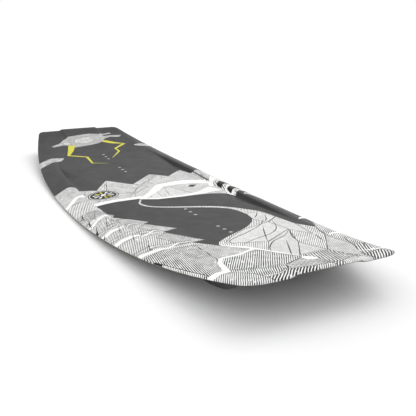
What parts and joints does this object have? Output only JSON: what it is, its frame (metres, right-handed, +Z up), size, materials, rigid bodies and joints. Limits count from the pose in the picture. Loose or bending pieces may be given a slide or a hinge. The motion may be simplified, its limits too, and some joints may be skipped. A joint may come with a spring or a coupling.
{
  "type": "wakeboard",
  "caption": "Bare twin-tip wakeboard: rockered layered board with scooped deck, raised tip plateaus, threaded binding inserts on the centre line and bolt-on fins near the tips.",
  "frame": {"origin": "middle of the underside, where the board rests on a floor", "axes": "+X along the board towards the nose, +Y across towards the left rail, +Z up out of the deck"},
  "size_m": [1.385, 0.4444, 0.076],
  "materials": {
    "printed_sheet": "satin printed sheet, charcoal with white line art",
    "laminate": "clear resin over glass cloth",
    "core_foam": "fine closed-cell foam",
    "cast_edge": "pale cast resin",
    "running_base": "smooth satin black",
    "phenolic": "woven phenolic plate",
    "insert_metal": "plain bright metal",
    "fin_plastic": "moulded black, fine grain",
    "screw_steel": "satin stainless"
  },
  "bodies": {
    "root": {"top_sheet": "printed_sheet", "top_laminate": "laminate", "foam_core": "core_foam", "bottom_laminate": "laminate", "base_sheet": "running_base", "edge_band": "cast_edge", "insert_plate_1": "phenolic", "insert_plate_2": "phenolic", "insert_plate_3": "phenolic", "insert_plate_4": "phenolic", "binding_insert_01": "insert_metal", "binding_insert_02": "insert_metal", "binding_insert_03": "insert_metal", "binding_insert_04": "insert_metal", "binding_insert_05": "insert_metal", "binding_insert_06": "insert_metal", "binding_insert_07": "insert_metal", "binding_insert_08": "insert_metal", "binding_insert_09": "insert_metal", "binding_insert_10": "insert_metal", "binding_insert_11": "insert_metal", "binding_insert_12": "insert_metal", "fin_insert_nose_left_1": "insert_metal", "fin_insert_nose_left_2": "insert_metal", "fin_insert_nose_right_1": "insert_metal", "fin_insert_nose_right_2": "insert_metal", "fin_insert_tail_left_1": "insert_metal", "fin_insert_tail_left_2": "insert_metal", "fin_insert_tail_right_1": "insert_metal", "fin_insert_tail_right_2": "insert_metal", "fin_nose_left": "fin_plastic", "fin_nose_right": "fin_plastic", "fin_tail_left": "fin_plastic", "fin_tail_right": "fin_plastic", "fin_screw_nose_left_1": "screw_steel", "fin_screw_nose_left_2": "screw_steel", "fin_screw_nose_right_1": "screw_steel", "fin_screw_nose_right_2": "screw_steel", "fin_screw_tail_left_1": "screw_steel", "fin_screw_tail_left_2": "screw_steel", "fin_screw_tail_right_1": "screw_steel", "fin_screw_tail_right_2": "screw_steel"}
  },
  "joints": []
}
